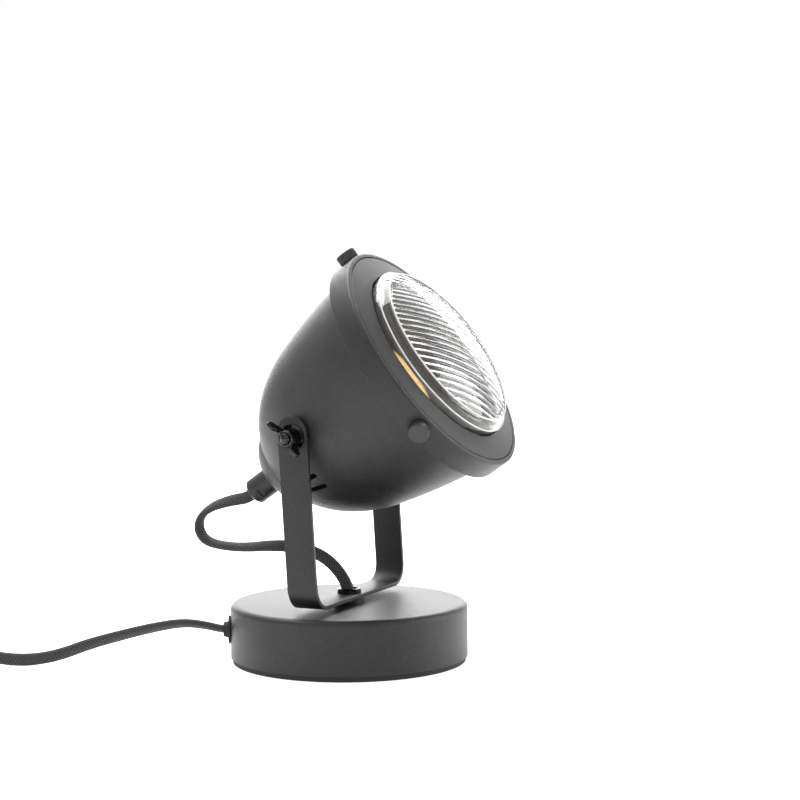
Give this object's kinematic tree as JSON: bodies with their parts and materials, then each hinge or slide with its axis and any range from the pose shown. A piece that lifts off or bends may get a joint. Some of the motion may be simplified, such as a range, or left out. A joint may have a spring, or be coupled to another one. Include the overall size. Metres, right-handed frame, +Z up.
{
  "type": "table lamp",
  "caption": "Searchlight-shaped table lamp: a tilting drum head with a ribbed glass lens in a U-shaped strap bracket on a round weighted base.",
  "frame": {"origin": "centre of the round base's underside", "axes": "+Z up through the base, the lamp looks towards -Y, the tilt hinge runs along X"},
  "size_m": [0.1886, 0.4335, 0.2163],
  "materials": {
    "black_powder_coat": "fine textured matte black powder coat",
    "black_nickel": "glossy black nickel plating",
    "zinc_steel": "zinc plated steel",
    "cast_iron": "raw cast iron",
    "pad_rubber": "matte black foam rubber",
    "soft_black": "soft black rubber",
    "black_nylon": "satin black moulded plastic",
    "ceramic": "white unglazed ceramic",
    "bulb_glass": "faceted reflector bulb with clear front",
    "lens_glass": "clear pressed glass with ribs",
    "textile_cord": "black braided textile over a flat cord",
    "nickel_pin": "bright nickel plated brass"
  },
  "bodies": {
    "base": {"base_cord": "textile_cord", "base_pad": "pad_rubber", "base_pillars": "zinc_steel", "base_shell": "black_powder_coat", "base_weight": "cast_iron", "bottom_plate": "zinc_steel", "clamp_screws": "zinc_steel", "cord_clamp": "black_nylon", "cord_coil": "textile_cord", "cord_grommet": "soft_black", "lead_cord": "textile_cord", "lead_cord_2": "textile_cord", "plate_screws": "zinc_steel", "plug_body": "black_nylon", "plug_pins": "nickel_pin", "ring_nut": "black_nickel", "switch_lower": "black_nylon", "switch_screws": "zinc_steel", "switch_upper": "black_nylon", "swivel_spacer": "black_powder_coat", "tail_cord": "textile_cord", "threaded_tube": "black_nickel", "tube_nut": "zinc_steel", "tube_washer": "zinc_steel"},
    "bracket": {"bracket": "black_powder_coat", "loop_cord": "textile_cord"},
    "head": {"head_shell": "black_powder_coat", "rear_cap": "black_powder_coat", "cord_grip": "black_powder_coat", "grip_insert": "soft_black", "grip_screw": "black_nickel", "grip_nipple": "zinc_steel", "rear_nut": "zinc_steel", "holder_bracket": "zinc_steel", "lamp_holder": "ceramic", "holder_screws": "zinc_steel", "bulb": "bulb_glass", "bezel_ring": "black_powder_coat", "lens": "lens_glass", "lens_gasket": "soft_black", "lens_retainer": "zinc_steel", "rim_nuts": "zinc_steel", "hinge_bolts": "black_nickel", "inner_washers": "black_nickel", "hinge_washers": "black_nickel", "head_cord": "textile_cord"},
    "wing_nut_near": {"wing_nut_near": "black_nickel"},
    "wing_nut_far": {"wing_nut_far": "black_nickel"},
    "thumbscrew_1": {"thumbscrew_1": "black_nickel"},
    "thumbscrew_2": {"thumbscrew_2": "black_nickel"},
    "thumbscrew_3": {"thumbscrew_3": "black_nickel"},
    "switch_rocker": {"switch_rocker": "black_nylon"}
  },
  "joints": [
    {"name": "bracket_pan", "type": "hinge", "parent": "base", "child": "bracket", "pos_m": [0, 0, 0.034], "axis": [0, 0, 1], "range_deg": [-150, 150]},
    {"name": "head_tilt", "type": "hinge", "parent": "bracket", "child": "head", "pos_m": [0, 0.00505, 0.1206], "axis": [-1, 0, 0], "range_deg": [-54.8, 30.2], "deforming": ["loop_cord"]},
    {"name": "wing_nut_near_turn", "type": "hinge", "parent": "head", "child": "wing_nut_near", "pos_m": [-0.057, 0.00505, 0.1206], "axis": [-1, 0, 0], "continuous": true},
    {"name": "wing_nut_far_turn", "type": "hinge", "parent": "head", "child": "wing_nut_far", "pos_m": [0.057, 0.00505, 0.1206], "axis": [1, 0, 0], "continuous": true},
    {"name": "thumbscrew_1_turn", "type": "hinge", "parent": "head", "child": "thumbscrew_1", "pos_m": [-0.01033, -0.0068, 0.20956], "axis": [-0.1564, 0.5637, 0.811], "continuous": true},
    {"name": "thumbscrew_2_turn", "type": "hinge", "parent": "head", "child": "thumbscrew_2", "pos_m": [0.06381, -0.05362, 0.14219], "axis": [0.9668, -0.1458, -0.2098], "continuous": true},
    {"name": "thumbscrew_3_turn", "type": "hinge", "parent": "head", "child": "thumbscrew_3", "pos_m": [-0.05548, -0.0644, 0.12667], "axis": [-0.8406, -0.3092, -0.4448], "continuous": true},
    {"name": "rocker_tilt", "type": "hinge", "parent": "base", "child": "switch_rocker", "pos_m": [-0.10195, 0.2075, 0.013], "axis": [-0.9489, -0.3156, 0], "range_deg": [0, 14]}
  ]
}
